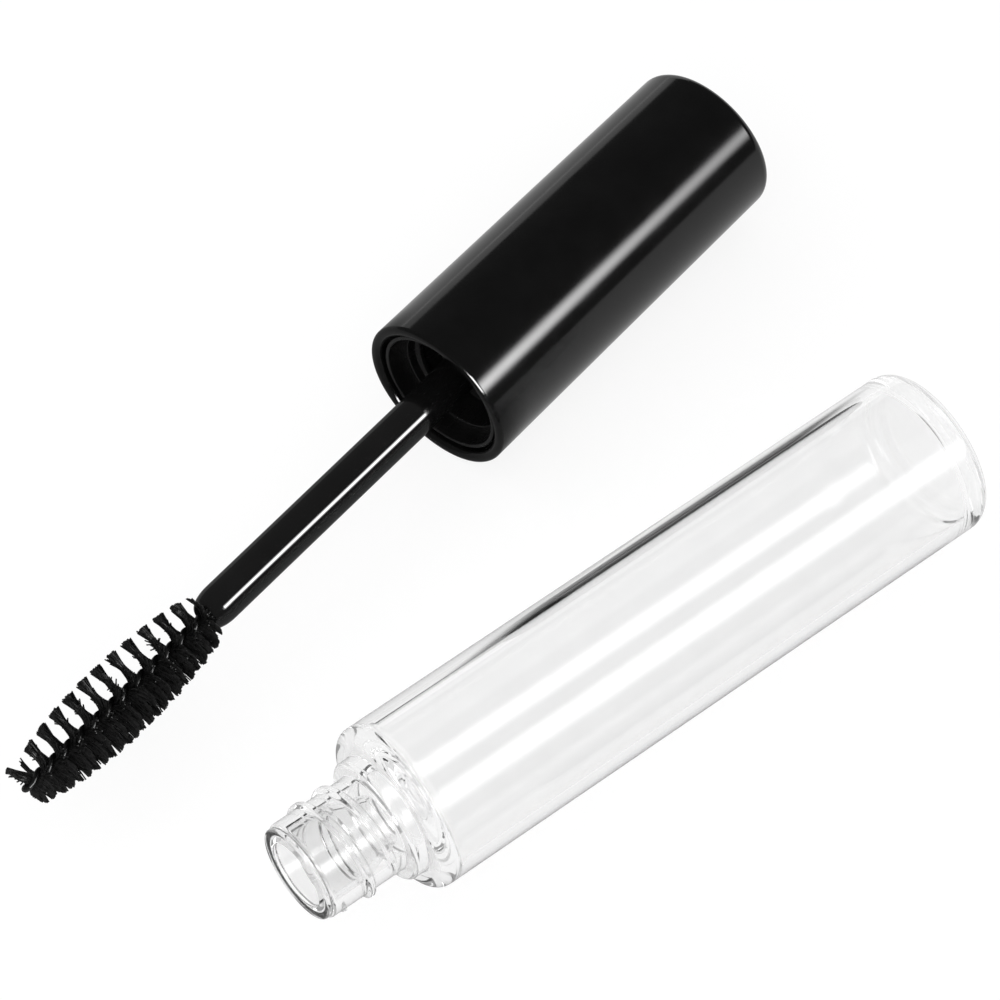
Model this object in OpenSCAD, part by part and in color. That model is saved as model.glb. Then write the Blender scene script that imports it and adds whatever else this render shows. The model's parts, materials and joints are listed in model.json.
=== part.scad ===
// Empty refillable mascara tube, taken apart: a clear threaded bottle with its wiper,
// and a black cap that carries the stem and the twisted-wire brush. Both lie on a surface.
// Bottle pieces are drawn upright from the base, and wand pieces from the cap's open rim
// towards the brush tip. lay_bottle() and lay_wand() then lay them down. Millimetres.

/* [Bottle] */
// Outside diameter of the bottle
bottle_d = 17; // [13:0.1:24]
// Length of the bottle's body, from its base to its shoulder
body_l = 66; // [40:0.5:110]
// Wall of the body
wall_t = 1.1; // [0.7:0.05:1.6]
// Thickness of the floor
floor_t = 2.2; // [1:0.1:4]
// Thickness of the shoulder
shoulder_t = 1.6; // [1:0.1:3]
// Radius of the edge round the base
base_edge_r = 1.8; // [0.6:0.1:2.4]
// Radius of the edge round the shoulder
shoulder_edge_r = 1.35; // [0.4:0.05:2]

/* [Neck] */
// Diameter of the neck, without its thread
neck_d = 10; // [8.4:0.1:10.6]
// Bore of the neck
neck_bore_d = 8; // [6.8:0.1:8.2]
// Length of the neck above the shoulder
neck_l = 9.8; // [8.6:0.1:14]
// Diameter of the collar at the foot of the neck
collar_d = 12.5; // [11.6:0.1:13]
// Length of the collar
collar_l = 1.5; // [0.8:0.1:2.5]

/* [Thread] */
// Pitch of the thread
pitch = 2.75; // [2.2:0.05:3]
// Height of the ridge above its wall
ridge_h = 0.45; // [0.3:0.05:0.5]
// Width of the ridge at its foot
ridge_w = 1.1; // [0.8:0.05:1.2]
// Turns of thread on the neck
neck_turns = 2; // [1:0.25:2]
// Turns of thread in the cap
cap_turns = 1.25; // [0.75:0.25:1.5]
// Distance from the neck's rim to where its thread starts
thread_start = 1.5; // [1:0.1:2.4]
// Gap round the neck inside the cap's thread
thread_gap = 0.15; // [0.1:0.05:0.3]

/* [Wiper] */
// Length of the wiper's plug in the neck
wiper_l = 8.8; // [6:0.1:9.5]
// Diameter of the wiper's flange
flange_d = 9.6; // [8.8:0.1:9.8]
// Thickness of the wiper's flange
flange_t = 0.6; // [0.4:0.1:1]
// Wall of the wiper
wiper_wall = 0.55; // [0.4:0.05:0.8]
// Length of the wiper's tapered lip
lip_l = 4.2; // [2:0.1:5]
// Radial gap between the wiper and the neck
wiper_gap = 0.05; // [0.01:0.01:0.1]

/* [Cap] */
// Diameter of the cap at its open rim
cap_d = 16.5; // [15.8:0.1:24]
// Diameter of the cap at its closed end
cap_end_d = 16; // [15.4:0.1:24]
// Length of the cap
cap_l = 41.6; // [28:0.1:70]
// Wall of the cap at its rim
cap_wall = 1.1; // [0.8:0.05:1.2]
// Thickness of the cap's closed end
cap_top_t = 1.5; // [1:0.1:3]
// Radius of the edge round the closed end
cap_edge_r = 1.1; // [0.3:0.1:2]
// Gap between the cap's rim and the bottle's shoulder when closed
rim_gap = 0.3; // [0.1:0.1:1]
// How far the inner cap sits behind the rim
insert_recess = 0.6; // [0.2:0.1:1]
// Wall that closes the inner cap behind the seal
web_t = 1.2; // [0.8:0.1:2.5]
// Length of the boss that grips the stem
boss_l = 5; // [3:0.1:8]
// Thickness of the seal washer
seal_t = 1; // [0.6:0.1:2]

/* [Wand] */
// Diameter of the stem
stem_d = 4; // [3:0.1:4.6]
// Length of the stem past the cap's rim
stem_l = 33.2; // [20:0.1:60]
// Length of the rounded end of the stem
stem_nose_l = 2.4; // [1:0.1:5]
// Diameter of the stem's root in the boss
root_d = 3.2; // [2.4:0.1:3.6]
// Diameter of the core wire
wire_d = 0.6; // [0.4:0.05:0.8]
// Depth of the wire in the stem
wire_grip_l = 7; // [4:0.5:12]
// Diameter of the brush at its widest
brush_d = 7.6; // [5:0.1:7.8]
// Diameter of the brush at the stem
brush_root_d = 5.2; // [3:0.1:7]
// Diameter of the brush at the tip
brush_tip_d = 4.2; // [3:0.1:7]
// Length of one tuft of bristles, half a turn of the twist
tuft_l = 2; // [1.6:0.05:3]
// Bristles in one tuft
tuft_bristles = 14; // [8:1:16]
// Diameter of one bristle
bristle_d = 0.1; // [0.06:0.01:0.12]

/* [Where the pieces lie] */
// Clear width between the bottle's side and the cap's open rim
lay_gap = 17.4; // [5:0.1:60]
// Distance of the cap's rim from the plane of the bottle's base
lay_back = 33.6; // [0:0.1:80]
// Angle between the wand and the bottle
lay_angle = 11.4; // [0:0.1:15]

/* [Hidden] */
$fn = 96;

// One past a surface, for cuts that run out of the solid
past = 1;
// A ridge is sunk this far into the wall that carries it
sink = 0.15;
// Steps in one turn of a thread ridge
ridge_steps = 24;
// Part of a turn over which a thread ridge rises from its wall
ridge_fade = 0.2;
// A ridge narrows by this much on each side towards its crest
ridge_flank_w = 0.28;

bottle_r = bottle_d / 2;
neck_r = neck_d / 2;
neck_bore_r = neck_bore_d / 2;
neck_top = body_l + neck_l;
neck_edge_r = 0.25;
collar_r = collar_d / 2;
collar_edge_r = min(0.4, collar_l / 3);
cavity_edge_r = 1.2;

// Closed, the seal presses on the wiper's flange: depth of that face inside the cap
seal_face = neck_l + flange_t - rim_gap;
web_face = seal_face + seal_t;
web_back = web_face + web_t;
boss_end = web_back + boss_l;
insert_bore_r = neck_r + ridge_h + thread_gap;
insert_step = collar_l + 0.4;
insert_mouth_r = collar_r + thread_gap;

// Where the neck's thread starts, and how far round
neck_ridge_z = neck_top - thread_start - pitch * neck_turns;
neck_ridge_a = 250;
// The cap's thread ends this far behind the step in its mouth
insert_ridge_inset = 0.9;
insert_ridge_z = -insert_recess - insert_step - insert_ridge_inset - pitch * cap_turns;
// Closed, the cap stands turned over on the neck, its ridge midway between the neck's turns
ridge_lead = body_l + rim_gap - insert_ridge_z - neck_ridge_z;
insert_ridge_a = 180 - neck_ridge_a - 360 * ridge_lead / pitch;

cap_r = cap_d / 2;
cap_end_r = cap_end_d / 2;
cap_bore_r = cap_r - cap_wall;
cap_step = 0.3;
cap_lip_r = 0.45;
insert_nose_gap = 0.3;
insert_nose_l = 1.6;
boss_r = root_d / 2 + 1.7;
seal_r = neck_r + thread_gap - 0.05;

stem_r = stem_d / 2;
seal_bore_gap = 0.05;
root_r = root_d / 2;
wire_r = wire_d / 2;
// The two legs of the folded wire stand this far from the twist's axis, with bristles between
leg_offset = wire_r + bristle_d / 2 + 0.03;
wire_bore_r = leg_offset + wire_r + 0.02;
stem_tip_r = wire_bore_r + 0.4;
orifice_r = stem_r + 0.05;

tufts = 12;
brush_l = tufts * tuft_l;
twist_pitch = 2 * tuft_l;
// The wire is twisted left-handed
twist_way = -1;
wire_sides = 8;
wire_steps = 12;
// The fold bends this far above the last twisted ring
fold_rise = 0.25;
// The fold of the wire goes round past the last bristle
fold_out = leg_offset + wire_r + 0.08;
// The wire's cut ends stop this far above the bottom of the stem's bore
wire_end_gap = 0.2;

wand_y = bottle_r + lay_gap + cap_r;
wand_tip = stem_l + brush_l;
// Outermost points of the two pieces as they lie: the bottle runs from x = 0 to its flange, and
// the cap's far edge and the brush's tip are round
x_low = min(
    -neck_top - flange_t,
    -lay_back - wand_tip * cos(lay_angle) - brush_tip_d / 2 * sin(lay_angle),
    -lay_back - (wand_tip + fold_out - wire_r) * cos(lay_angle) - wire_r
);
far_l = cap_l - cap_edge_r;
far_r = cap_end_r - cap_edge_r;
x_high = max(0, cap_edge_r - lay_back + far_l * cos(lay_angle) + far_r * sin(lay_angle));
y_low = -bottle_r;
y_high = wand_y + cap_edge_r + far_l * sin(lay_angle) + far_r * cos(lay_angle);
centre_x = (x_low + x_high) / 2;
centre_y = (y_low + y_high) / 2;

// Points of a round stretch of an outline
function arc(x, y, r, from, to, steps = 8) =
    [for (i = [0:steps]) let (a = from + (to - from) * i / steps) [x + r * cos(a), y + r * sin(a)]];

// A round stretch, or a sharp corner where its radius is 0
function corner(x, y, r, from, to) = r > 0 ? arc(x, y, r, from, to) : [[x, y]];

// Triangles of a skin through rings of points, each ring one step on from the last
function ring_quads(rings, sides) = [
    for (i = [0:rings - 2], j = [0:sides - 1])
        let (a = i * sides + j, b = i * sides + (j + 1) % sides)
        each [[a, b, b + sides], [a, b + sides, a + sides]]
];
function skin(rings, sides) = concat(
    [[for (j = [sides - 1:-1:0]) j]],
    ring_quads(rings, sides),
    [[for (j = [0:sides - 1]) (rings - 1) * sides + j]]
);

// Height of a ridge, as a share of its full height, after a share t of its length
function ridge_rise(t, turns) = min(1, t * turns / ridge_fade, (1 - t) * turns / ridge_fade);

// A right-hand thread ridge. It starts at height z and angle a and goes up. side is 1 on a
// neck and -1 in a bore, and r is the radius of the wall that carries it.
module ridge(r, side, z, a, turns) {
    steps = ceil(turns * ridge_steps);
    points = [
        for (i = [0:steps])
            let (
                t = i / steps,
                rise = max(0.12, ridge_rise(t, turns)),
                angle = a + 360 * turns * t,
                mid = z + pitch * turns * t,
                foot = r - side * sink,
                crest = r + side * ridge_h * rise,
                half_foot = ridge_w / 2,
                half_crest = ridge_w / 2 - ridge_flank_w
            )
            each [
                for (p = [[foot, -half_foot], [crest, -half_crest], [crest, half_crest], [foot, half_foot]])
                    [p[0] * cos(angle), p[0] * sin(angle), mid + p[1]]
            ]
    ];
    faces = skin(steps + 1, 4);
    flipped = [for (f = faces) [for (k = [len(f) - 1:-1:0]) f[k]]];
    polyhedron(points, side > 0 ? faces : flipped);
}

// Outline of a round body from its axis out, with rounded edges at its foot and its top
module round_body(r, h, foot_edge, top_edge) {
    polygon(concat(
        [[0, 0]],
        corner(r - foot_edge, foot_edge, foot_edge, -90, 0),
        corner(r - top_edge, h - top_edge, top_edge, 0, 90),
        [[0, h]]
    ));
}

// Lays a bottle piece on its side, with its neck towards -X
module lay_bottle() {
    translate([-centre_x, -centre_y, bottle_r])
        rotate([0, -90, 0])
            children();
}

// Lays a wand piece on its side beside the bottle, with its brush towards -X
module lay_wand() {
    translate([-lay_back - centre_x, wand_y - centre_y, cap_r])
        rotate([0, 0, lay_angle])
            rotate([0, -90, 0])
                children();
}

module bottle() {
    color("gainsboro", 0.4)
        lay_bottle() {
            rotate_extrude()
                difference() {
                    union() {
                        round_body(bottle_r, body_l, base_edge_r, shoulder_edge_r);
                        translate([0, body_l - past])
                            round_body(collar_r, collar_l + past, 0, collar_edge_r);
                        translate([0, body_l - past])
                            round_body(neck_r, neck_l + past, 0, neck_edge_r);
                    }
                    translate([0, floor_t])
                        round_body(bottle_r - wall_t, body_l - shoulder_t - floor_t,
                            cavity_edge_r, cavity_edge_r);
                    translate([0, floor_t + past])
                        square([neck_bore_r, neck_top]);
                }
            ridge(neck_r, 1, neck_ridge_z, neck_ridge_a, neck_turns);
        }
}

module wiper() {
    r = neck_bore_r - wiper_gap;
    top = neck_top + flange_t;
    straight = neck_top - wiper_l + lip_l;
    foot = neck_top - wiper_l;
    color("white", 0.6)
        lay_bottle()
            rotate_extrude()
                polygon([
                    [r - wiper_wall, top],
                    [flange_d / 2, top],
                    [flange_d / 2, neck_top],
                    [r, neck_top],
                    [r, straight],
                    [orifice_r + wiper_wall, foot],
                    [orifice_r, foot],
                    [orifice_r, foot + wiper_wall],
                    [r - wiper_wall, straight + wiper_wall]
                ]);
}

module cap_shell() {
    end = -cap_l;
    color("black")
        lay_wand()
            rotate_extrude()
                difference() {
                    polygon(concat(
                        [[0, 0]],
                        arc(cap_r - cap_lip_r, -cap_lip_r, cap_lip_r, 90, 0),
                        arc(cap_end_r - cap_edge_r, end + cap_edge_r, cap_edge_r, 0, -90),
                        [[0, end]]
                    ));
                    translate([0, -web_back])
                        square([cap_bore_r, web_back + past]);
                    translate([0, end + cap_top_t])
                        square([cap_bore_r - cap_step, cap_l - cap_top_t - web_back + past]);
                }
}

module inner_cap() {
    color("dimgray")
        lay_wand() {
            rotate_extrude()
                difference() {
                    union() {
                        translate([0, -web_back])
                            square([cap_bore_r, web_back - insert_recess - insert_nose_l]);
                        translate([0, -web_back])
                            round_body(cap_bore_r - insert_nose_gap, web_back - insert_recess, 0, 0.2);
                        translate([0, -boss_end])
                            square([boss_r, boss_l + past]);
                    }
                    translate([0, -web_face])
                        square([insert_bore_r, web_face]);
                    translate([0, -insert_recess - insert_step])
                        square([insert_mouth_r, insert_step + past]);
                    translate([0, -boss_end - past])
                        square([root_r, boss_end]);
                }
            ridge(insert_bore_r, -1, insert_ridge_z, insert_ridge_a, cap_turns);
        }
}

module seal_washer() {
    color("black")
        lay_wand()
            rotate_extrude()
                translate([stem_r + seal_bore_gap, -web_face])
                    round_body(seal_r - stem_r - seal_bore_gap, seal_t, 0, 0.15);
}

module stem() {
    nose = stem_l - stem_nose_l;
    color("black")
        lay_wand()
            rotate_extrude()
                polygon(concat(
                    [
                        [0, -boss_end],
                        [root_r, -boss_end],
                        [root_r, -web_face],
                        [stem_r, -web_face]
                    ],
                    [
                        for (i = [0:6])
                            [
                                stem_tip_r + (stem_r - stem_tip_r) * cos(i * 15),
                                nose + stem_nose_l * sin(i * 15)
                            ]
                    ],
                    [
                        [wire_bore_r, stem_l],
                        [wire_bore_r, stem_l - wire_grip_l],
                        [0, stem_l - wire_grip_l]
                    ]
                ));
}

// Where the twist stands at height z: bristles at z point along this angle
function twist(z) = twist_way * 360 * (z - stem_l) / twist_pitch;

// One ring round the wire, at centre c, with unit directions out from the twist's axis and along
function wire_ring(c, out, along) =
    let (across = cross(along, out))
    [
        for (j = [0:wire_sides - 1])
            let (b = 360 * j / wire_sides)
            c + wire_r * (cos(b) * out + sin(b) * across)
    ];

// A ring on a twisted leg at height z. way is 1 up the first leg and -1 down the second.
function leg_ring(z, way) =
    let (
        a = twist(z) + 90 * way,
        out = [cos(a), sin(a), 0],
        swing = twist_way * leg_offset * 2 * PI,
        tangent = [-sin(a) * swing, cos(a) * swing, twist_pitch],
        along = way * tangent / norm(tangent)
    )
    wire_ring(leg_offset * out + [0, 0, z], out, along);

// A ring on the fold at the tip, b degrees round it from the first leg
function fold_ring(z, b) =
    let (
        a = twist(z) + 90,
        side = [cos(a), sin(a), 0],
        out = cos(b) * side + [0, 0, sin(b)],
        along = [0, 0, cos(b)] - sin(b) * side
    )
    wire_ring([0, 0, z] + leg_offset * out, out, along);

module core_wire() {
    low = stem_l - wire_grip_l + wire_end_gap;
    high = wand_tip + fold_out - wire_r - leg_offset - fold_rise;
    steps = ceil((high - low) / twist_pitch * wire_steps);
    levels = [for (i = [0:steps]) low + (high - low) * i / steps];
    up = [for (z = levels) each leg_ring(z, 1)];
    fold = [for (b = [30:30:150]) each fold_ring(high + fold_rise, b)];
    down = [for (i = [steps:-1:0]) each leg_ring(levels[i], -1)];
    rings = 2 * len(levels) + 5;
    color("silver")
        lay_wand()
            polyhedron(concat(up, fold, down), skin(rings, wire_sides));
}

// Radius of the brush at a share t of its length, like a barrel with a slimmer tip
function brush_r(t) =
    let (end_r = (brush_root_d + (brush_tip_d - brush_root_d) * t) / 2)
    end_r + (brush_d / 2 - end_r) * pow(sin(180 * t), 0.7);

// One half-turn of the brush: bristles gripped at their middles between the wire's legs
module tuft(index) {
    color("black")
        lay_wand()
            for (i = [0:tuft_bristles - 1]) {
                z = stem_l + index * tuft_l + tuft_l * (i + 0.5) / tuft_bristles;
                r = brush_r((z - stem_l) / brush_l);
                translate([0, 0, z])
                    rotate([0, 0, twist(z)])
                        rotate([0, 90, 0])
                            cylinder(h = 2 * r, d = bristle_d, center = true, $fn = 6);
            }
}

bottle();
wiper();
cap_shell();
inner_cap();
seal_washer();
stem();
core_wire();
tuft(0);  // tuft_01
tuft(1);  // tuft_02
tuft(2);  // tuft_03
tuft(3);  // tuft_04
tuft(4);  // tuft_05
tuft(5);  // tuft_06
tuft(6);  // tuft_07
tuft(7);  // tuft_08
tuft(8);  // tuft_09
tuft(9);  // tuft_10
tuft(10);  // tuft_11
tuft(11);  // tuft_12
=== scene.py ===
"""Looks of an empty mascara tube that lies open: a clear threaded bottle with its wiper, and a
black cap that carries the stem and the twisted-wire brush. Each piece is made upright in its own
frame, with its axis along z, and is then laid where the CAD holds it. Shapes are in millimetres
until then."""

import json
import math
import random

import bpy
import numpy as np
from mathutils import Matrix, Vector


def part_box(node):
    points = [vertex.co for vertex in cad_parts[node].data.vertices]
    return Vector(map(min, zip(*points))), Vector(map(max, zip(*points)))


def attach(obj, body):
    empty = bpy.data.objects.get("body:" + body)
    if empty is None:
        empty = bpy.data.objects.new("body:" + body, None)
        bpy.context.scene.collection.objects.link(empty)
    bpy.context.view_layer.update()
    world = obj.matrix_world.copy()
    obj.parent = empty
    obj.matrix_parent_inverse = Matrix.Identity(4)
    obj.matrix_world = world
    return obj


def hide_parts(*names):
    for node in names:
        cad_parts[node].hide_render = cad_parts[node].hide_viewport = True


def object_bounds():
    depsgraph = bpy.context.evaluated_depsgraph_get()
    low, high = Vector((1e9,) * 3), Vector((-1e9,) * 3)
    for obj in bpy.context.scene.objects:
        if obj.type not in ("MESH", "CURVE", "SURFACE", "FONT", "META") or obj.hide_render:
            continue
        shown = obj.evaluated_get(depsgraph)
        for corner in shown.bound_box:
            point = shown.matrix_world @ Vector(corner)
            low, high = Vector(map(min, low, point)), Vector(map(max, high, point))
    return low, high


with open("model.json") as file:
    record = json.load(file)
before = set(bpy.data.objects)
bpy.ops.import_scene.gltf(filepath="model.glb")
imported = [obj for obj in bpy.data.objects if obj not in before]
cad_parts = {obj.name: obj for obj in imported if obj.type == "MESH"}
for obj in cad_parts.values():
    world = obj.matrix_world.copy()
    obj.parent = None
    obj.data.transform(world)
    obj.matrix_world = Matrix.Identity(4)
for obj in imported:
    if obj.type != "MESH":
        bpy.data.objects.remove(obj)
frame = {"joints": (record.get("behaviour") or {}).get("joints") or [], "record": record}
cad_low, cad_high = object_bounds()
record = frame["record"]

MM = 0.001
TURN = 2 * math.pi
TINY = 1e-6

# Bottle: z is 0 at its base and grows towards the neck
BODY_L = 66.0
WALL = 1.1
FLOOR = 2.2
SHOULDER = 1.6
BASE_EDGE = 1.8
SHOULDER_EDGE = 1.35
CAVITY_EDGE = 1.2
COLLAR_R = 6.25
COLLAR_L = 1.5
COLLAR_EDGE = 0.4
NECK_R = 5.0
NECK_L = 9.8
NECK_EDGE = 0.25
NECK_BORE_R = 4.0
SMALL_EDGE = 0.12

# Threads
PITCH = 2.75
RIDGE_H = 0.45
RIDGE_FOOT = 0.55
RIDGE_CREST = 0.2
RIDGE_FADE = 0.3
NECK_TURNS = 2.0
NECK_THREAD_TOP = 1.5
CAP_TURNS = 1.25
INSERT_RIDGE_INSET = 0.9
NECK_RIDGE_ANGLE = 250.0
RIM_GAP = 0.3

# Wiper
WIPER_L = 8.8
FLANGE_R = 4.8
FLANGE_T = 0.6
FLANGE_EDGE = 0.2
WIPER_WALL = 0.55
WIPER_EDGE = 0.1
LIP_L = 4.2
WIPER_GAP = 0.05
ORIFICE_GAP = 0.05

# Cap: z is 0 at its open rim and grows towards the brush
CAP_R = 8.25
CAP_END_R = 8.0
CAP_L = 41.6
CAP_WALL = 1.1
CAP_STEP = 0.3
CAP_TOP = 1.5
CAP_EDGE = 1.1
CAP_LIP = 0.45
CAP_LIP_FLAT = 0.1
INSERT_RECESS = 0.6
INSERT_NOSE_L = 1.6
INSERT_NOSE_GAP = 0.3
INSERT_EDGE = 0.15
INSERT_BORE_R = 5.6
INSERT_MOUTH_R = 6.4
INSERT_MOUTH_EDGE = 0.1
INSERT_STEP = 1.9
WEB_FACE = 11.1
WEB_BACK = 12.3
BOSS_END = 17.3
BOSS_R = 3.3
SEAL_R = 5.1
SEAL_T = 1.0
SEAL_EDGE = 0.15

# Wand: z as in the cap
STEM_R = 2.0
STEM_L = 33.2
STEM_NOSE_L = 2.4
STEM_TIP_R = 1.1
SEAL_BORE_GAP = 0.05
ROOT_R = 1.6
WIRE_R = 0.3
WIRE_BORE_R = 0.7
WIRE_GRIP_L = 7.0
WIRE_END_GAP = 0.2
LEG_OFFSET = 0.38
FOLD_TOP = 57.96
FOLD_EASE = 1.2
TUFTS = 12
TUFT_L = 2.0
TWIST_PITCH = 2 * TUFT_L
TWIST_WAY = -1
BRUSH_L = TUFTS * TUFT_L
BRUSH_R = 3.8
BRUSH_ROOT_R = 2.6
BRUSH_TIP_R = 2.1
# The lower, the longer the brush stays wide
BRUSH_FULLNESS = 0.7

SIDES = 192
SMALL_SIDES = 96
WIRE_SIDES = 12
WIRE_STEPS = 300
FOLD_STEPS = 16


# ---------------------------------------------------------------- where the pieces lie

def laid(origin, towards):
    """The frame of a piece whose axis runs from origin along towards, level with the floor."""
    along = Vector(towards).normalized()
    up = Vector((0, 0, 1))
    place = Matrix((up, along.cross(up), along)).transposed().to_4x4()
    place.translation = Vector(origin)
    return place


mounts = {m["name"]: m for m in record["mounts"]}
joints = {j["name"]: j for j in frame["joints"]}
bottle_base = Vector(mounts["bottle_base"]["pos_m"])
bottle_place = laid(bottle_base, -Vector(mounts["bottle_base"]["axis"]))
wand_axis = Vector(joints["cap_turn"]["axis"]).normalized()
wand_rim = Vector(joints["cap_turn"]["pos_m"])
wand_place = laid(wand_rim, wand_axis)


# ---------------------------------------------------------------- meshes

def arc(r, z, radius, start, stop, steps=10):
    """Points of a round stretch of an outline about (r, z), from start to stop in degrees."""
    angles = [math.radians(start + (stop - start) * i / steps) for i in range(steps + 1)]
    return [(r + radius * math.cos(a), z + radius * math.sin(a)) for a in angles]


def held(outline, near=0.03, least=0.2):
    """The outline with a point close to each end of its long stretches, so that they shade flat."""
    out = []
    for (r0, z0), (r1, z1) in zip(outline, outline[1:] + outline[:1]):
        out.append((r0, z0))
        length = math.hypot(r1 - r0, z1 - z0)
        if length > least and max(r0, r1) > 0:
            for t in (near / length, 1 - near / length):
                out.append((r0 + (r1 - r0) * t, z0 + (z1 - z0) * t))
    return out


def make_piece(name, verts, faces, place, material, body, nodes, slot, sharp=40):
    """A mesh in millimetres as a named piece: laid in place, riding its body, and standing for its
    CAD nodes."""
    mesh = bpy.data.meshes.new(name)
    mesh.from_pydata((np.asarray(verts) * MM).tolist(), [], faces)
    mesh.validate()
    mesh.polygons.foreach_set("use_smooth", [True] * len(mesh.polygons))
    mesh.set_sharp_from_angle(angle=math.radians(sharp))
    mesh.materials.append(material)
    piece = bpy.data.objects.new(name, mesh)
    bpy.context.scene.collection.objects.link(piece)
    piece.matrix_world = place
    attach(piece, body)
    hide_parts(*nodes)
    return piece


def lathe(outline, swell=None, sides=SIDES):
    """Vertices and faces of a closed outline of (radius, z) points turned about z. The outline
    runs anticlockwise, with the axis to its left. swell(angles, radius, z) is added to the
    radius."""
    verts, faces, rings = [], [], []
    angles = np.arange(sides) * TURN / sides
    for r, z in outline:
        first = len(verts)
        if r < TINY:
            verts.append((0, 0, z))
            rings.append([first] * sides)
            continue
        radius = r + (swell(angles, r, z) if swell else 0)
        ring = np.stack([radius * np.cos(angles), radius * np.sin(angles), np.full(sides, z)], 1)
        verts.extend(ring.tolist())
        rings.append(list(range(first, first + sides)))
    for a, b in zip(rings, rings[1:] + rings[:1]):
        if a[0] == a[1] and b[0] == b[1]:
            continue
        for j in range(sides):
            k = (j + 1) % sides
            face = [a[j], a[k], b[k], b[j]]
            faces.append([v for i, v in enumerate(face) if v != face[i - 1]])
    return verts, faces


def ridge(angles, z, start_z, start_angle, turns):
    """Height of a thread ridge at the given angles and one z, as a share of its full height."""
    height = np.zeros_like(angles)
    part = ((angles - math.radians(start_angle)) / TURN) % 1
    for whole in range(math.ceil(turns)):
        t = part + whole
        end = np.clip(np.minimum(t, turns - t) / RIDGE_FADE, 0, 1)
        end = np.sqrt(1 - (1 - end) ** 2)
        foot, crest = RIDGE_FOOT * end, RIDGE_CREST * end
        aside = abs(z - start_z - PITCH * t)
        flank = np.clip((foot - aside) / np.maximum(foot - crest, TINY), 0, 1)
        height = np.maximum(height, end * flank * flank * (3 - 2 * flank))
    return height


def rows(r, z0, z1, step=0.05):
    """Close points up a straight wall that carries a thread."""
    count = round(abs(z1 - z0) / step)
    return [(r, z0 + (z1 - z0) * i / count) for i in range(count + 1)]


# How far the close points stay from the corner above or below them
ROW_GAP = 0.05
# A direction that no path starts along
OFF_AXIS = (0.31, 0.52, 0.79)


def tube(path, radius, sides):
    """A tube along a path, with flat ends. Its rings are carried along without twist."""
    path = np.asarray(path, float)
    tangents = np.gradient(path, axis=0)
    tangents /= np.linalg.norm(tangents, axis=1)[:, None]
    side = np.cross(tangents[0], OFF_AXIS)
    verts = []
    for point, tangent in zip(path, tangents):
        side = side - tangent * side.dot(tangent)
        side /= np.linalg.norm(side)
        other = np.cross(tangent, side)
        for j in range(sides):
            a = TURN * j / sides
            verts.append(point + radius * (math.cos(a) * side + math.sin(a) * other))
    faces = [list(range(sides))[::-1]]
    for i in range(len(path) - 1):
        for j in range(sides):
            a, b = i * sides + j, i * sides + (j + 1) % sides
            faces.append([a, b, b + sides, a + sides])
    faces.append(list(range((len(path) - 1) * sides, len(path) * sides)))
    return verts, faces


# ---------------------------------------------------------------- materials

def new_material(name, base, roughness, **sockets):
    """A material with one Principled shader, and its Object coordinates, whose z is the piece's
    axis."""
    material = bpy.data.materials.new(name)
    material.use_nodes = True
    tree = material.node_tree
    shader = tree.nodes["Principled BSDF"]
    shader.inputs["Base Color"].default_value = (*base, 1)
    shader.inputs["Roughness"].default_value = roughness
    for socket, value in sockets.items():
        shader.inputs[socket.replace("_", " ")].default_value = value
    coordinates = tree.nodes.new("ShaderNodeTexCoord").outputs["Object"]
    return material, tree, shader, coordinates


# Noise mostly stays between these
NOISE_LOW = 0.3
NOISE_HIGH = 0.7


def noise(tree, coordinates, scale, stretch=1.0, detail=3.0):
    """Noise with features about 1/scale metres across, drawn out along z by stretch."""
    mapping = tree.nodes.new("ShaderNodeMapping")
    mapping.inputs["Scale"].default_value = (scale, scale, scale / stretch)
    texture = tree.nodes.new("ShaderNodeTexNoise")
    texture.inputs["Scale"].default_value = 1
    texture.inputs["Detail"].default_value = detail
    tree.links.new(coordinates, mapping.inputs["Vector"])
    tree.links.new(mapping.outputs["Vector"], texture.inputs["Vector"])
    return texture.outputs["Fac"]


def spread(tree, value, low, high, start=NOISE_LOW, stop=NOISE_HIGH, ease="LINEAR"):
    """value from start to stop, mapped to low to high."""
    node = tree.nodes.new("ShaderNodeMapRange")
    node.interpolation_type = ease
    ends = {"From Min": start, "From Max": stop, "To Min": low, "To Max": high}
    for socket, number in ends.items():
        node.inputs[socket].default_value = number
    tree.links.new(value, node.inputs["Value"])
    return node.outputs["Result"]


def tint(tree, value, low, high, socket):
    """Colours a socket from low to high as noise does."""
    ramp = tree.nodes.new("ShaderNodeValToRGB")
    for element, position, colour in zip(
        ramp.color_ramp.elements, (NOISE_LOW, NOISE_HIGH), (low, high)
    ):
        element.position = position
        element.color = (*colour, 1)
    tree.links.new(value, ramp.inputs["Fac"])
    tree.links.new(ramp.outputs["Color"], socket)


def relief(tree, shader, layers):
    """Bump from (value, height in millimetres) layers, one on the next."""
    normal = None
    for value, height in layers:
        bump = tree.nodes.new("ShaderNodeBump")
        bump.inputs["Strength"].default_value = 1
        bump.inputs["Distance"].default_value = height * MM
        tree.links.new(value, bump.inputs["Height"])
        if normal:
            tree.links.new(normal, bump.inputs["Normal"])
        normal = bump.outputs["Normal"]
    tree.links.new(normal, shader.inputs["Normal"])


def feed(tree, socket, value):
    """Gives a socket its value, which is a number or another socket."""
    if isinstance(value, bpy.types.NodeSocket):
        tree.links.new(value, socket)
    else:
        socket.default_value = value


def switch(tree, when, off, on):
    """off, or on where when is 1. Each is a number or a socket."""
    node = tree.nodes.new("ShaderNodeMix")
    tree.links.new(when, node.inputs["Factor"])
    feed(tree, node.inputs["A"], off)
    feed(tree, node.inputs["B"], on)
    return node.outputs["Result"]


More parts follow.
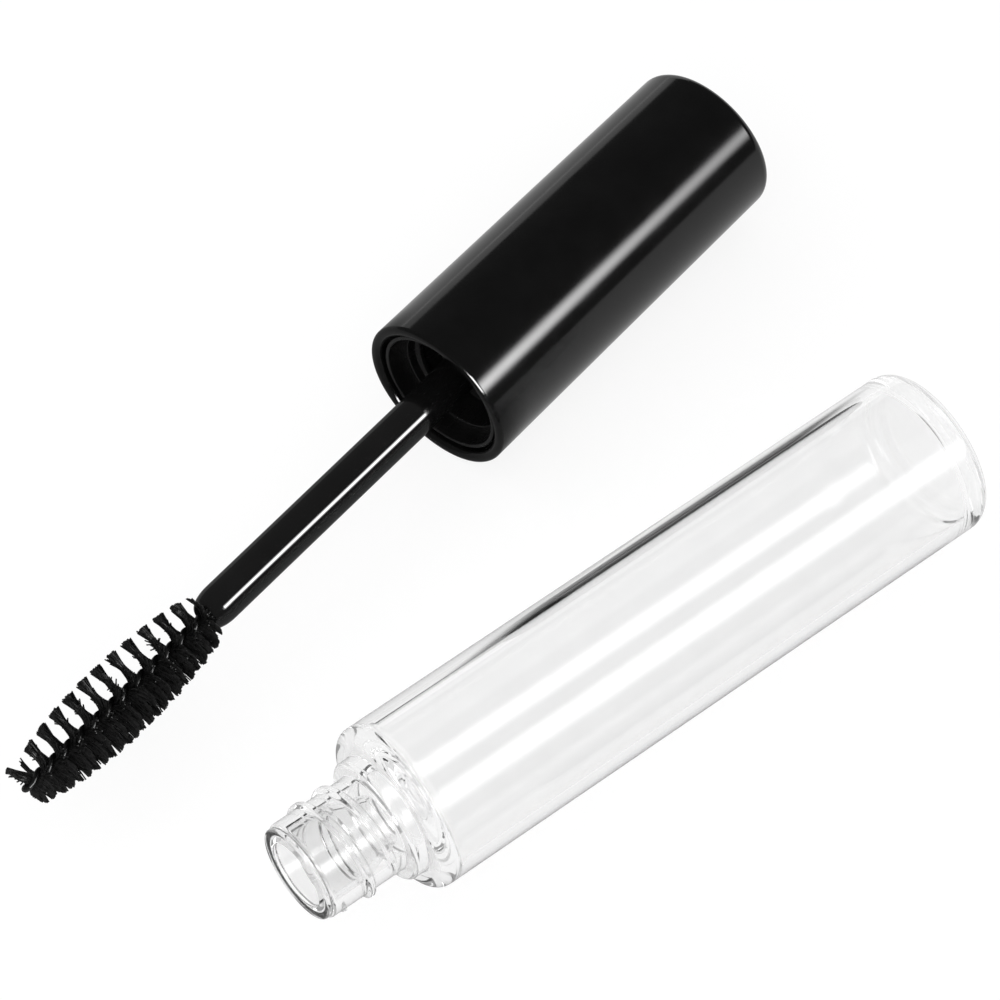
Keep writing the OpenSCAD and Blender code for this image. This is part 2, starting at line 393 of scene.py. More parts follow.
def maths(tree, operation, *values):
    """The operation on one or two values, each a number or a socket."""
    node = tree.nodes.new("ShaderNodeMath")
    node.operation = operation
    for socket, value in zip(node.inputs, values):
        feed(tree, socket, value)
    return node.outputs["Value"]


def mirrored(tree, paths):
    """1 for a ray that a surface in the open reflects, and 0 for one that was inside plastic."""
    outside = maths(tree, "LESS_THAN", paths.outputs["Transmission Depth"], 0.5)
    glossy = maths(
        tree, "MULTIPLY", paths.outputs["Is Glossy Ray"], paths.outputs["Is Reflection Ray"]
    )
    return maths(tree, "MULTIPLY", glossy, outside)


# Reflections inside the plastic after which light is let out
CAUGHT_TURNS = 3.5
PASSED_COLOUR = (0.97, 0.97, 0.97, 1)
# Scale, stretch and detail of each material's noise, and the height of its relief in millimetres
CLEAR_PATCHES = (260,)
CLEAR_FINISH = (900, 4)
CLEAR_WAVES = (220, 6, 1.5)
BLACK_PATCHES = (300,)
BLACK_FINISH = (700, 3)
BLACK_RUBS = (5000, 30, 2)
NYLON_PATCHES = (3000,)
NYLON_GRAIN = (9000,)
NYLON_GRAIN_HEIGHT = 0.002
STEEL_PATCHES = (2500,)
STEEL_FINISH = (4000, 8)
STEEL_LINES = (12000, 12)
STEEL_LINES_HEIGHT = 0.002


def clear_material(name, tone, roughness, ior, wave_height):
    """Clear plastic: faint flow waves along the piece, and a finish that varies. Light passes it,
    and so do the reflections in the black pieces. What is caught inside it comes out after some
    turns."""
    material, tree, shader, where = new_material(
        name, tone[1], roughness[0], IOR=ior, Transmission_Weight=1.0
    )
    patches = noise(tree, where, *CLEAR_PATCHES)
    tint(tree, patches, tone[0], tone[1], shader.inputs["Base Color"])
    finish = spread(tree, noise(tree, where, *CLEAR_FINISH), *roughness)
    tree.links.new(finish, shader.inputs["Roughness"])
    relief(tree, shader, [(noise(tree, where, *CLEAR_WAVES), wave_height)])
    paths = tree.nodes.new("ShaderNodeLightPath")
    passing = tree.nodes.new("ShaderNodeBsdfTransparent")
    passing.inputs["Color"].default_value = PASSED_COLOUR
    mix = tree.nodes.new("ShaderNodeMixShader")
    output = tree.nodes["Material Output"]
    caught = maths(tree, "GREATER_THAN", paths.outputs["Glossy Depth"], CAUGHT_TURNS)
    free = maths(tree, "MAXIMUM", mirrored(tree, paths), caught)
    tree.links.new(maths(tree, "MAXIMUM", paths.outputs["Is Shadow Ray"], free), mix.inputs[0])
    tree.links.new(shader.outputs["BSDF"], mix.inputs[1])
    tree.links.new(passing.outputs["BSDF"], mix.inputs[2])
    tree.links.new(mix.outputs["Shader"], output.inputs["Surface"])
    return material


def black_material(name, tone, roughness, grain, grain_height, rub_height, ior=1.5):
    """Moulded black plastic: a finish that varies, moulded grain, and fine rubs along the piece."""
    material, tree, shader, where = new_material(name, tone[1], roughness[0], IOR=ior)
    patches = noise(tree, where, *BLACK_PATCHES)
    tint(tree, patches, tone[0], tone[1], shader.inputs["Base Color"])
    finish = spread(tree, noise(tree, where, *BLACK_FINISH), *roughness)
    tree.links.new(finish, shader.inputs["Roughness"])
    relief(tree, shader, [
        (noise(tree, where, grain), grain_height),
        (noise(tree, where, *BLACK_RUBS), rub_height),
    ])
    return material


def grey(value):
    return (value, value, value)


def nylon_material():
    """Black nylon filament, a little lighter towards some ends: partly its own tone and partly
    painted highlight speckle. It has a drawn surface.
    """
    material, tree, shader, where = new_material("bristle_nylon", grey(0.006), 0.4, IOR=1.53)
    # Colour lighter in random patches: partly the nylon's own tone, partly painted highlight
    # speckle
    patches = noise(tree, where, *NYLON_PATCHES)
    tint(tree, patches, grey(0.004), grey(0.02), shader.inputs["Base Color"])
    finish = spread(tree, noise(tree, where, *NYLON_PATCHES), 0.25, 0.45)
    tree.links.new(finish, shader.inputs["Roughness"])
    relief(tree, shader, [(noise(tree, where, *NYLON_GRAIN), NYLON_GRAIN_HEIGHT)])
    return material


def steel_material():
    """Drawn steel wire: lines along the wand, and duller patches."""
    material, tree, shader, where = new_material("core_steel", grey(0.12), 0.4, Metallic=1.0)
    patches = noise(tree, where, *STEEL_PATCHES)
    tint(tree, patches, grey(0.08), grey(0.16), shader.inputs["Base Color"])
    finish = spread(tree, noise(tree, where, *STEEL_FINISH), 0.22, 0.4)
    tree.links.new(finish, shader.inputs["Roughness"])
    relief(tree, shader, [(noise(tree, where, *STEEL_LINES), STEEL_LINES_HEIGHT)])
    return material


clear_plastic = clear_material(
    "clear_plastic", (grey(0.955), grey(0.97)), (0.0, 0.02), ior=1.48, wave_height=0.0008
)
wiper_plastic = clear_material(
    "wiper_plastic", (grey(0.94), grey(0.97)), (0.03, 0.08), ior=1.3, wave_height=0.001
)
black_shell = black_material(
    "black_shell", (grey(0.002), grey(0.0035)), (0.10, 0.15),
    grain=2500, grain_height=0.0004, rub_height=0.0002,
)
black_insert = black_material(
    "black_insert", (grey(0.004), grey(0.008)), (0.2, 0.3),
    grain=1800, grain_height=0.001, rub_height=0.0004,
)
black_stem = black_material(
    "black_stem", (grey(0.003), grey(0.005)), (0.06, 0.10),
    grain=2500, grain_height=0.0003, rub_height=0.0002, ior=1.75,
)
black_seal = black_material(
    "black_seal", (grey(0.008), grey(0.014)), (0.45, 0.6),
    grain=4000, grain_height=0.004, rub_height=0.0004,
)
bristle_nylon = nylon_material()
core_steel = steel_material()


# ---------------------------------------------------------------- bottle and wiper

bottle_r = (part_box("bottle")[1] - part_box("bottle")[0]).z / MM / 2
neck_top = BODY_L + NECK_L
neck_thread_start = neck_top - NECK_THREAD_TOP - PITCH * NECK_TURNS


def bottle_outline():
    cavity_r = bottle_r - WALL
    cavity_top = BODY_L - SHOULDER
    collar_top = BODY_L + COLLAR_L
    small = SMALL_EDGE
    out = [(0, 0)]
    out += arc(bottle_r - BASE_EDGE, BASE_EDGE, BASE_EDGE, -90, 0, 14)
    out += arc(bottle_r - SHOULDER_EDGE, BODY_L - SHOULDER_EDGE, SHOULDER_EDGE, 0, 90, 14)
    out += arc(COLLAR_R + small, BODY_L + small, small, -90, -180, 4)
    out += arc(COLLAR_R - COLLAR_EDGE, collar_top - COLLAR_EDGE, COLLAR_EDGE, 0, 90)
    out += arc(NECK_R + small, collar_top + small, small, -90, -180, 4)
    out += rows(NECK_R, collar_top + small + ROW_GAP, neck_top - NECK_EDGE - ROW_GAP)
    out += arc(NECK_R - NECK_EDGE, neck_top - NECK_EDGE, NECK_EDGE, 0, 90)
    out += arc(NECK_BORE_R + small, neck_top - small, small, 90, 180, 6)
    out += arc(NECK_BORE_R + small, cavity_top + small, small, 180, 270, 6)
    out += arc(cavity_r - CAVITY_EDGE, cavity_top - CAVITY_EDGE, CAVITY_EDGE, 90, 0, 12)
    out += arc(cavity_r - CAVITY_EDGE, FLOOR + CAVITY_EDGE, CAVITY_EDGE, 0, -90, 12)
    out.append((0, FLOOR))
    return held(out)


def neck_thread(angles, r, z):
    if abs(r - NECK_R) > TINY or z < BODY_L + COLLAR_L:
        return 0
    return RIDGE_H * ridge(angles, z, neck_thread_start, NECK_RIDGE_ANGLE, NECK_TURNS)


def wiper_outline():
    r = NECK_BORE_R - WIPER_GAP
    top = neck_top + FLANGE_T
    foot = neck_top - WIPER_L
    straight = foot + LIP_L
    orifice = STEM_R + ORIFICE_GAP
    small = WIPER_EDGE
    out = arc(FLANGE_R - FLANGE_EDGE, top - FLANGE_EDGE, FLANGE_EDGE, 90, 0, 6)
    out += arc(FLANGE_R - small, neck_top + small, small, 0, -90, 4)
    out += [(r, neck_top)]
    out += [(r, straight), (orifice + WIPER_WALL, foot)]
    out += [(orifice, foot), (orifice, foot + WIPER_WALL)]
    out += [(r - WIPER_WALL, straight + WIPER_WALL)]
    out += arc(r - WIPER_WALL + small, top - small, small, 180, 90, 4)
    return held(out[::-1])


bottle = make_piece(
    "clear_bottle", *lathe(bottle_outline(), neck_thread), bottle_place,
    clear_plastic, "bottle", ["bottle"], "clear_plastic",
)
wiper = make_piece(
    "neck_wiper", *lathe(wiper_outline()), bottle_place,
    wiper_plastic, "wiper", ["wiper"], "wiper_plastic",
)


# ---------------------------------------------------------------- cap

cap_bore_r = CAP_R - CAP_WALL


def cap_outline():
    end = -CAP_L
    out = [(0, end)]
    out += arc(CAP_END_R - CAP_EDGE, end + CAP_EDGE, CAP_EDGE, -90, 0, 12)
    out += arc(CAP_R - CAP_LIP, -CAP_LIP, CAP_LIP, 0, 90)
    inner = CAP_WALL - CAP_LIP - CAP_LIP_FLAT
    out += arc(cap_bore_r + inner, -inner, inner, 90, 180)
    out += [(cap_bore_r, -WEB_BACK), (cap_bore_r - CAP_STEP, -WEB_BACK)]
    out += [(cap_bore_r - CAP_STEP, end + CAP_TOP), (0, end + CAP_TOP)]
    return held(out)


def insert_outline():
    nose_r = cap_bore_r - INSERT_NOSE_GAP
    nose = -INSERT_RECESS - INSERT_NOSE_L
    step = -INSERT_RECESS - INSERT_STEP
    edge, mouth_edge = INSERT_EDGE, INSERT_MOUTH_EDGE
    out = [(ROOT_R, -BOSS_END), (BOSS_R, -BOSS_END), (BOSS_R, -WEB_BACK)]
    out += [(cap_bore_r, -WEB_BACK), (cap_bore_r, nose), (nose_r, nose)]
    out += arc(nose_r - edge, -INSERT_RECESS - edge, edge, 0, 90, 6)
    out += arc(INSERT_MOUTH_R + mouth_edge, -INSERT_RECESS - mouth_edge, mouth_edge, 90, 180, 6)
    out += [(INSERT_MOUTH_R, step)]
    out += arc(INSERT_BORE_R + edge, step - edge, edge, 90, 180, 6)
    out += rows(INSERT_BORE_R, step - edge - ROW_GAP, -WEB_FACE + ROW_GAP, 0.06)
    out += [(INSERT_BORE_R, -WEB_FACE), (ROOT_R, -WEB_FACE)]
    return held(out)


# The start angle in the cap lets the closed threads mesh, as in the CAD
insert_thread_start = -INSERT_STEP - INSERT_RECESS - INSERT_RIDGE_INSET - PITCH * CAP_TURNS
ridge_lead = BODY_L + RIM_GAP - insert_thread_start - neck_thread_start
insert_ridge_angle = 180 - NECK_RIDGE_ANGLE - 360 * ridge_lead / PITCH


def insert_thread(angles, r, z):
    if abs(r - INSERT_BORE_R) > TINY or z < -WEB_FACE:
        return 0
    return -RIDGE_H * ridge(angles, z, insert_thread_start, insert_ridge_angle, CAP_TURNS)


def seal_outline():
    inner = STEM_R + SEAL_BORE_GAP
    low, high, edge = -WEB_FACE, -WEB_FACE + SEAL_T, SEAL_EDGE
    out = arc(inner + edge, low + edge, edge, 180, 270, 5)
    out += arc(SEAL_R - edge, low + edge, edge, -90, 0, 5)
    out += arc(SEAL_R - edge, high - edge, edge, 0, 90, 5)
    out += arc(inner + edge, high - edge, edge, 90, 180, 5)
    return held(out)


def stem_outline():
    nose = STEM_L - STEM_NOSE_L
    narrowing = STEM_R - STEM_TIP_R
    grip = STEM_L - WIRE_GRIP_L
    out = [(0, -BOSS_END), (ROOT_R, -BOSS_END), (ROOT_R, -WEB_FACE), (STEM_R, -WEB_FACE)]
    for r, z in arc(0, 0, 1, 0, 90, 16):
        out.append((STEM_TIP_R + narrowing * r, nose + STEM_NOSE_L * z))
    out += [(WIRE_BORE_R, STEM_L), (WIRE_BORE_R, grip), (0, grip)]
    return held(out)


cap = make_piece(
    "cap_outer", *lathe(cap_outline()), wand_place,
    black_shell, "wand", ["cap_shell"], "black_shell",
)
insert = make_piece(
    "cap_insert", *lathe(insert_outline(), insert_thread), wand_place,
    black_insert, "wand", ["inner_cap"], "black_insert",
)
seal = make_piece(
    "cap_seal", *lathe(seal_outline(), sides=SMALL_SIDES), wand_place,
    black_seal, "seal", ["seal_washer"], "black_seal",
)
stem = make_piece(
    "wand_stem", *lathe(stem_outline(), sides=SMALL_SIDES), wand_place,
    black_stem, "wand", ["stem"], "black_stem",
)


# ---------------------------------------------------------------- core wire

def twist(z):
    """Angle of the bristles that the wire holds at height z."""
    return TWIST_WAY * TURN * (z - STEM_L) / TWIST_PITCH


def wire_path():
    """Middle of the folded wire: up one leg, round the fold and down the other leg."""
    low = STEM_L - WIRE_GRIP_L + WIRE_END_GAP
    fold = FOLD_TOP - WIRE_R - LEG_OFFSET
    leg = []
    for i in range(WIRE_STEPS + 1):
        z = low + (fold - low) * i / WIRE_STEPS
        late = max(0, z - (fold - FOLD_EASE))
        a = twist(z - late * late / (2 * FOLD_EASE)) + TURN / 4
        leg.append((LEG_OFFSET * math.cos(a), LEG_OFFSET * math.sin(a), z))
    side = Vector((leg[-1][0], leg[-1][1], 0))
    turn = [
        side * math.cos(b) + Vector((0, 0, fold + LEG_OFFSET * math.sin(b)))
        for b in (math.pi * i / FOLD_STEPS for i in range(1, FOLD_STEPS))
    ]
    back = [(-x, -y, z) for x, y, z in leg[::-1]]
    return leg + [tuple(p) for p in turn] + back


wire = make_piece(
    "brush_wire", *tube(wire_path(), WIRE_R, WIRE_SIDES), wand_place,
    core_steel, "wand", ["core_wire"], "core_steel",
)


# ---------------------------------------------------------------- bristles

# Clumps in a tuft, and filaments in a clump
CLUMPS = 16
FILAMENTS = 13
FILAMENT_R = 0.07
FILAMENT_RINGS = 8
FILAMENT_SIDES = 5
# Spread of a clump's middle, turn and length, then of its filaments within it
CLUMP_RISE = 0.03
CLUMP_SWING = 0.1
CLUMP_LEAST = 0.96
FILAMENT_RISE = 0.08
FILAMENT_TURN = 0.24
FILAMENT_LEAST = 0.95
FILAMENT_OFFSET = (0.12, 0.1)
# Blocks: the middle of their side and its half width in degrees, the angle that ends beyond it
# spread to, how much of the angle and of the rise is left, the sway in radians, and the pull
# towards a clump's middle
BLOCK_ANGLE = 62.0
BLOCK_HALF = 66.0
BLOCK_OUTER = 100.0
BLOCK_PULL = 0.27
BLOCK_SPREAD = 0.08
BLOCK_SWAY = 0.16
BLOCK_GATHER = 0.3
# Share of filaments that stand on their own, and how
LOOSE = 0.2
LOOSE_SWAY = 0.35
LOOSE_REACH = (0.6, 0.95)
LOOSE_RISE = 0.2
# Fringe: the side away from the blocks, in teeth
FRINGE_SWAY = 0.05
FRINGE_PULL = 0.6
FRINGE_GATHER = 0.8
TEETH = 3
TEETH_PULL = 0.12
# The last tuft's bent filaments, and the highest that any may reach
TIP_TOP = FOLD_TOP - 0.1
TIP_LEAN = 0.62
TIP_LEAN_ANGLES = (-8, 132)
SEED = 7
chance = random.Random(SEED)


def jitter(most):
    """A random number from -most to most."""
    return chance.uniform(-most, most)


def brush_radius(z):
    """Radius of the brush at height z: a barrel with a slimmer tip."""
    t = min(max((z - STEM_L) / BRUSH_L, 0), 1)
    end = BRUSH_ROOT_R + (BRUSH_TIP_R - BRUSH_ROOT_R) * t
    return end + (BRUSH_R - end) * math.sin(math.pi * t) ** BRUSH_FULLNESS


def filament(z, angle, offset, ends):
    """One filament gripped at its middle. offset is its place beside the clump's middle, in the
    two directions across it. Each end has a reach, a lean about the axis, a rise along it, and a
    pull towards the clump's middle."""
    path = []
    for i in range(FILAMENT_RINGS):
        s = 2 * i / (FILAMENT_RINGS - 1) - 1
        way = 1 if s >= 0 else -1
        reach, lean, rise, pull = ends[way > 0]
        out = abs(s) * reach
        gather = 1 - pull * abs(s)
        a = angle + lean * s * s
        sideways = offset[0] * gather
        x = way * out * math.cos(a) - sideways * math.sin(a)
        y = way * out * math.sin(a) + sideways * math.cos(a)
        path.append((x, y, min(z + offset[1] * gather + rise * s * s, TIP_TOP)))
    return path


def gathered(z, angle):
    """Lean, rise and pull of an end at this angle. On one side ends gather into a block for each
    tuft, and on the other they spread and part into teeth."""
    turn = (math.degrees(angle) - BLOCK_ANGLE + 180) % 360 - 180
    if abs(turn) < 90:
        inside = min(abs(turn), BLOCK_HALF)
        slope = (BLOCK_OUTER - BLOCK_PULL * BLOCK_HALF) / (BLOCK_OUTER - BLOCK_HALF)
        kept = BLOCK_PULL * inside + (abs(turn) - inside) * slope
        lean = math.radians(math.copysign(kept, turn) - turn)
        lean += jitter(BLOCK_SWAY)
        return lean, TWIST_WAY * BLOCK_SPREAD * TWIST_PITCH * turn / 360, BLOCK_GATHER
    turn = turn - math.copysign(180, turn)
    tooth = TUFT_L / TEETH
    middle = STEM_L + (math.floor((z - STEM_L) / tooth) + 0.5) * tooth
    lean = math.radians((FRINGE_PULL - 1) * turn) + jitter(FRINGE_SWAY)
    return lean, (middle - z) * (1 - TEETH_PULL), FRINGE_GATHER


def tip_lean(index, angle, reach):
    """How far a filament's second end leans forward: only in the last tuft, on its bent side."""
    low, high = TIP_LEAN_ANGLES
    bent = index == TUFTS - 1 and (math.degrees(angle) - low) % 360 < high - low
    return TIP_LEAN * reach if bent else 0


def tuft(index):
    """All filaments of one half-turn of the twist, as one mesh."""
    verts, faces = [], []
    for clump in range(CLUMPS):
        z = STEM_L + TUFT_L * (index + (clump + 0.5) / CLUMPS) + jitter(CLUMP_RISE)
        swing = jitter(CLUMP_SWING)
        rise = jitter(CLUMP_RISE)
        length = chance.uniform(CLUMP_LEAST, 1.0)
        for _ in range(FILAMENTS):
            zf = z + jitter(FILAMENT_RISE)
            offset = (jitter(FILAMENT_OFFSET[0]), jitter(FILAMENT_OFFSET[1]))
            angle = twist(z) + jitter(FILAMENT_TURN)
            ends = []
            for way in (math.pi, 0):
                reach = brush_radius(zf) * length * chance.uniform(FILAMENT_LEAST, 1.0)
                lean, shift, pull = gathered(zf, angle + way)
                if chance.random() < LOOSE:
                    reach *= chance.uniform(*LOOSE_REACH)
                    lean = jitter(LOOSE_SWAY)
                    shift = jitter(LOOSE_RISE)
                lean += swing
                bent = 0 if way else tip_lean(index, angle, reach)
                ends.append((reach, lean, rise + shift + bent, pull))
            v, f = tube(filament(zf, angle, offset, ends), FILAMENT_R, FILAMENT_SIDES)
            first = len(verts)
            verts.extend(v)
            faces.extend([[first + k for k in face] for face in f])
    name = f"{index + 1:02d}"
    return make_piece(
        "bristles_" + name, verts, faces, wand_place,
        bristle_nylon, "wand", ["tuft_" + name], "bristle_nylon", sharp=60,
    )


tufts = [tuft(i) for i in range(TUFTS)]


# ---------------------------------------------------------------- floor, light and camera

WHITE = (1, 1, 1, 1)

# Floor: its size in metres, its colour, and its glow as seen straight, in reflections, and in those
# beside the stem, which is painted shade standing for the shadow of the cap and the stem
FLOOR_R = 3.0
FLOOR_RINGS = 24
FLOOR_SIDES = 96
FLOOR_TONE = 0.16
FLOOR_TONE_SPREAD = 0.01
FLOOR_GLOW = 0.85
FLOOR_MIRRORED = 0.45
FLOOR_PAINTED_SHADE = 0.05
# Between these distances from the cap's rim, in millimetres, the glow in reflections goes from the
# darker painted shade to the brighter. The drift is how far they move along the wand for each
# millimetre aside.
BESIDE_EDGE = (-1, 3)
BESIDE_DRIFT = 0.483
# Painted shade: a dark patch of the floor that the bottle's far wall sees, in millimetres along X,
# and along Y from the bottle's axis. A ray that has crossed more surfaces than these does not see
# it.
SHADE_X = (-2, 8, 42, 50)
SHADE_Y = (18, 25, 70, 90)
SHADE_GLOW = 0.0
SHADE_SURFACES = 2.5

# World: its strength as seen straight, through the bottle on the cap's side, and in reflections
WORLD_PALE = 0.8
WORLD_SIDE = 0.4
WORLD_DIM = 0.08
WORLD_SIDE_EDGE = (-0.3, 0.1)

# Lights: ways to them, turns about the wand in degrees, sizes and distances in metres, radiances
SOFT_WAYS = {"soft_left": (-0.62, -0.42, 0.66), "soft_back": (-0.5, 0.56, 0.66)}
SOFT_AWAY = 1.6
SOFT_SIZE = (1.3, 1.3)
SOFT_RADIANCE = 1.2
STRIP_WAY = (0.568, -0.619, 0.542)
STRIP_AWAY = 0.8
STRIP_EDGE = 0.02
STRIP_TURN = -6.7
STRIP_SIZE = (0.7, 0.36)
STRIP_RADIANCE = 17
STRIP_FADE = (0.42, 1.0, (0.35, 0.47))
WIDE_TURN = -1.0
WIDE_SIZE = (1.0, 0.5)
WIDE_RADIANCE = 5
GLINT_ALONG = 0.6
GLINT_SIZE = (0.6, 0.45)
GLINT_RADIANCE = 30
CARD_WAY = (0.25, 0.94, 0)
CARD_AWAY = 0.3
CARD_SHIFT = (0.1, 0, 0.03)
CARD_SIZE = (0.2, 0.072)
CARD_RADIANCE = 0.6


def band(tree, value, edges):
    """1 between the two inner edges, fading to 0 at the two outer ones, all in millimetres."""
    a, b, c, d = (edge * MM for edge in edges)
    rise = spread(tree, value, 0, 1, a, b, "SMOOTHSTEP")
    fall = spread(tree, value, 1, 0, c, d, "SMOOTHSTEP")
    return maths(tree, "MULTIPLY", rise, fall)


def measured(tree, where, origin, way):
    """Distance of where from origin along way."""
    offset = tree.nodes.new("ShaderNodeVectorMath")
    offset.operation = "SUBTRACT"
    offset.inputs[1].default_value = origin
    tree.links.new(where, offset.inputs[0])
    dot = tree.nodes.new("ShaderNodeVectorMath")
    dot.operation = "DOT_PRODUCT"
    dot.inputs[1].default_value = way
    tree.links.new(offset.outputs["Vector"], dot.inputs[0])
    return dot.outputs["Value"]


def floor_material():
    """A white table lit from below. Reflections see it darker beside the stem and the brush, as
    painted shade, and the wall along the bottle's far edge sees a patch of painted shade on it."""
    material, tree, shader, where = new_material(
        "studio_floor", grey(FLOOR_TONE), 0.8, Specular_IOR_Level=0, Emission_Color=WHITE
    )
    darker, lighter = FLOOR_TONE - FLOOR_TONE_SPREAD, FLOOR_TONE + FLOOR_TONE_SPREAD
    tint(tree, noise(tree, where, 3), grey(darker), grey(lighter), shader.inputs["Base Color"])
    # Painted shade: reflections see the floor darker beside the stem and the brush, standing for
    # their shadow on it
    along = measured(tree, where, wand_rim, -wand_axis)
    aside = measured(tree, where, wand_rim, Vector((0, 0, 1)).cross(wand_axis))
    drift = maths(tree, "MULTIPLY", maths(tree, "ABSOLUTE", aside), BESIDE_DRIFT)
    reached = maths(tree, "SUBTRACT", along, drift)
    edge = [end * MM for end in BESIDE_EDGE]
    beside = spread(tree, reached, FLOOR_PAINTED_SHADE, FLOOR_MIRRORED, *edge)
    # Painted shade: a dark patch of the floor that rays bent through the bottle's wall see
    shade = maths(
        tree, "MULTIPLY",
        band(tree, measured(tree, where, (0, 0, 0), (1, 0, 0)), SHADE_X),
        band(tree, measured(tree, where, bottle_base, (0, 1, 0)), SHADE_Y),
    )
    paths = tree.nodes.new("ShaderNodeLightPath")
    in_wall = maths(tree, "LESS_THAN", paths.outputs["Transmission Depth"], SHADE_SURFACES)
    bent = maths(tree, "MULTIPLY", in_wall, paths.outputs["Is Transmission Ray"])
    bent = maths(tree, "MULTIPLY", bent, shade)
    glow = switch(tree, bent, FLOOR_GLOW, SHADE_GLOW)
    glow = switch(tree, mirrored(tree, paths), glow, beside)
    tree.links.new(glow, shader.inputs["Emission Strength"])
    return material


def make_floor():
    """A round table, with closer rings near its middle."""
    mesh = bpy.data.meshes.new("studio_floor")
    sides = FLOOR_SIDES
    verts = [(0, 0, 0)]
    for i in range(1, FLOOR_RINGS + 1):
        r = FLOOR_R * (i / FLOOR_RINGS) ** 2
        for a in (TURN * j / sides for j in range(sides)):
            verts.append((r * math.cos(a), r * math.sin(a), 0))
    faces = [[0, 1 + j, 1 + (j + 1) % sides] for j in range(sides)]
    for i in range(FLOOR_RINGS - 1):
        for j in range(sides):
            a, b = 1 + i * sides + j, 1 + i * sides + (j + 1) % sides
            faces.append([a, a + sides, b + sides, b])
    mesh.from_pydata(verts, [], faces)
    mesh.materials.append(floor_material())
    floor = bpy.data.objects.new("studio_floor", mesh)
    bpy.context.scene.collection.objects.link(floor)


def area_light(name, centre, target, size, radiance, long_side=None):
    """A rectangular light of the given radiance that faces target, its first side along
    long_side."""
    data = bpy.data.lights.new(name, "AREA")
    data.shape = "RECTANGLE"
    data.size, data.size_y = size
    data.energy = radiance * math.pi * size[0] * size[1]
    light = bpy.data.objects.new(name, data)
    bpy.context.scene.collection.objects.link(light)
    away = (Vector(centre) - Vector(target)).normalized()
    side = Vector(long_side) if long_side else Vector((0, 0, 1)).cross(away)
    side = (side - away * side.dot(away)).normalized()
    light.matrix_world = Matrix((side, away.cross(side), away)).transposed().to_4x4()
    light.location = centre
    return light


def only_on(light, pieces):
    """Lets a light fall on these pieces alone."""
    lit = bpy.data.collections.new(light.name + "_lit")
    for piece in pieces:
        lit.objects.link(piece)
    light.light_linking.receiver_collection = lit


def soften(light, start, far=1.0, near=1.0, ends=(0, 1)):
    """Fades a light towards its long edges from start, a share of its width off its middle, and
    from far to near between two ends of its length."""
    light.data.use_nodes = True
    tree = light.data.node_tree
    place = tree.nodes.new("ShaderNodeNewGeometry").outputs["Parametric"]
    parts = tree.nodes.new("ShaderNodeSeparateXYZ")
    tree.links.new(place, parts.inputs["Vector"])
    across = maths(tree, "ABSOLUTE", maths(tree, "SUBTRACT", parts.outputs["Y"], 0.5))
    across = spread(tree, across, 1, 0, start, 0.5, "SMOOTHSTEP")
    along = spread(tree, parts.outputs["X"], far, near, *ends)
    strength = maths(tree, "MULTIPLY", across, along)
    tree.links.new(strength, tree.nodes["Emission"].inputs["Strength"])


# The way to the strips, as its part along the wand and its way out from it
strip_seen = Vector(STRIP_WAY).normalized()
strip_along = strip_seen.dot(wand_axis)
strip_out = (strip_seen - wand_axis * strip_along).normalized()


def side_strip(name, turn, size, radiance, pieces):
    """A long light whose reflection runs along the wand, turned about it by some degrees, and which
    falls on these pieces alone."""
    out = Matrix.Rotation(math.radians(turn), 3, wand_axis) @ strip_out
    lead = wand_axis * strip_along / math.sqrt(1 - strip_along * strip_along)
    centre = wand_rim + (out + lead) * STRIP_AWAY
    strip = area_light(name, centre, centre - out, size, radiance, wand_axis)
    strip.visible_diffuse = False
    only_on(strip, pieces)
    return strip


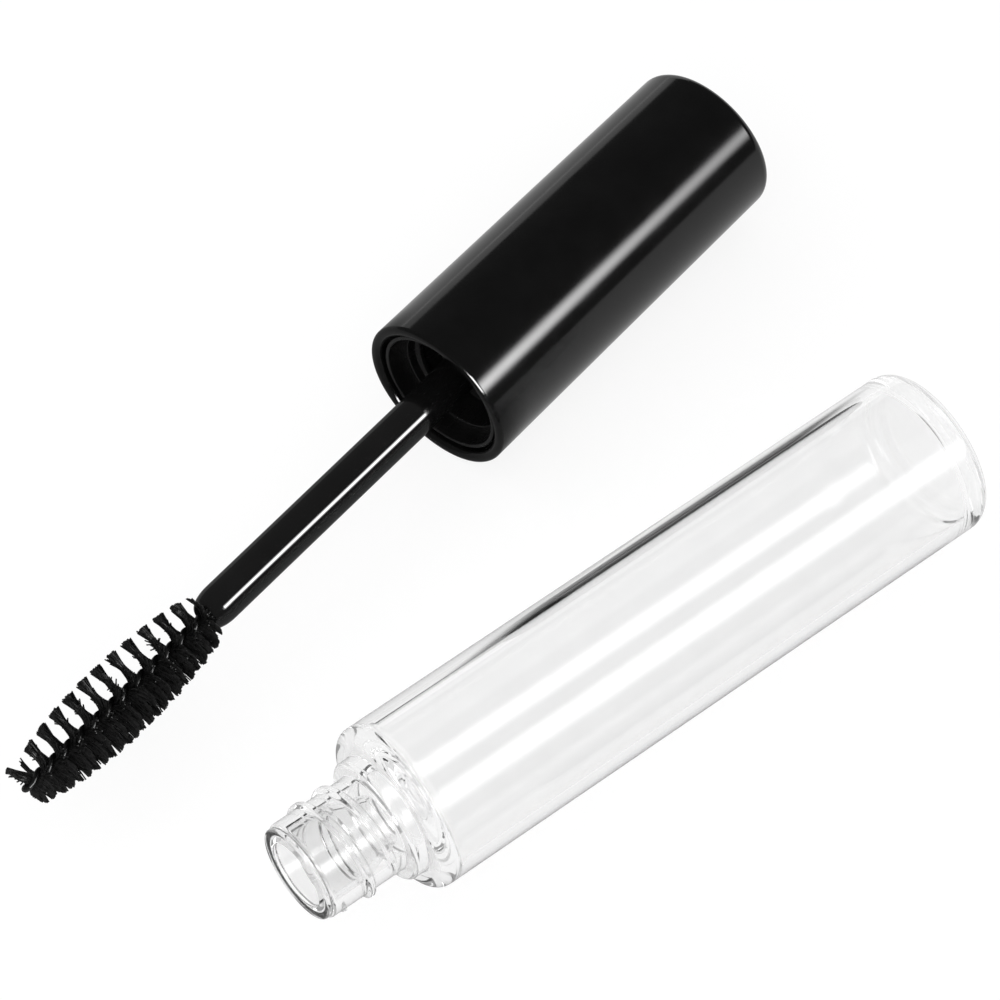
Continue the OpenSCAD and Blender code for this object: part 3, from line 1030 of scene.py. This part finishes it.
def make_lights():
    middle = (cad_low + cad_high) / 2
    for name, way in SOFT_WAYS.items():
        centre = middle + Vector(way) * SOFT_AWAY
        light = area_light(name, centre, middle, SOFT_SIZE, SOFT_RADIANCE)
        light.visible_glossy = False
    # The line down the cap and the stem, which fades towards the cap's end
    black = [cap, insert, seal, stem]
    strip = side_strip("strip", STRIP_TURN, STRIP_SIZE, STRIP_RADIANCE, black)
    soften(strip, STRIP_EDGE, *STRIP_FADE)
    # The bottle's two soft lines
    others = [bottle, wiper, wire, *tufts]
    wide = side_strip("wide_strip", WIDE_TURN, WIDE_SIZE, WIDE_RADIANCE, others)
    soften(wide, STRIP_EDGE)
    # Only the cap's lip shows this one
    centre = wand_rim + strip_out * STRIP_AWAY + wand_axis * GLINT_ALONG
    glint = area_light("glint", centre, wand_rim, GLINT_SIZE, GLINT_RADIANCE, wand_axis)
    glint.visible_diffuse = False
    only_on(glint, [cap])
    # A card beyond the cap shows as the band along its far edge
    centre = wand_rim + Vector(CARD_WAY).normalized() * CARD_AWAY + Vector(CARD_SHIFT)
    target = centre - Vector((0, 1, 0))
    card = area_light("card", centre, target, CARD_SIZE, CARD_RADIANCE, (1, 0, 0))
    card.visible_diffuse = False


def make_world():
    """A pale studio. Reflections see it dim, and what the bottle mirrors or bends sees it dimmer on
    the cap's side."""
    world = bpy.data.worlds.new("studio")
    bpy.context.scene.world = world
    world.use_nodes = True
    tree = world.node_tree
    where = tree.nodes.new("ShaderNodeTexCoord")
    parts = tree.nodes.new("ShaderNodeSeparateXYZ")
    tree.links.new(where.outputs["Generated"], parts.inputs["Vector"])
    paths = tree.nodes.new("ShaderNodeLightPath")
    passed = spread(tree, parts.outputs["X"], WORLD_PALE, WORLD_SIDE, *WORLD_SIDE_EDGE)
    through = switch(tree, paths.outputs["Is Glossy Ray"], WORLD_PALE, passed)
    strength = switch(tree, mirrored(tree, paths), through, WORLD_DIM)
    tree.links.new(strength, tree.nodes["Background"].inputs["Strength"])
    tree.nodes["Background"].inputs["Color"].default_value = WHITE


# Camera: degrees, and millimetres
CAMERA_AZIMUTH = -38.511
CAMERA_ELEVATION = 55.379
CAMERA_DISTANCE = 547.94
CAMERA_LENS = 204.9
CAMERA_SENSOR = 36
# The point on the floor that the camera looks at, from the middle of the bottle's base
CAMERA_TARGET = (-32.658, 25.346)


def make_camera():
    """The photograph's view."""
    data = bpy.data.cameras.new("camera")
    data.lens = CAMERA_LENS
    data.sensor_width = CAMERA_SENSOR
    camera = bpy.data.objects.new("camera", data)
    bpy.context.scene.collection.objects.link(camera)
    a, e = math.radians(CAMERA_AZIMUTH), math.radians(CAMERA_ELEVATION)
    back = Vector((math.sin(a) * math.cos(e), -math.cos(a) * math.cos(e), math.sin(e)))
    target = Vector((bottle_base.x, bottle_base.y, 0)) + Vector((*CAMERA_TARGET, 0)) * MM
    camera.location = target + back * CAMERA_DISTANCE * MM
    camera.rotation_mode = "QUATERNION"
    camera.rotation_quaternion = (-back).to_track_quat("-Z", "Y")
    bpy.context.scene.camera = camera


make_floor()
make_lights()
make_world()
make_camera()
bpy.context.scene.view_settings.view_transform = "Standard"
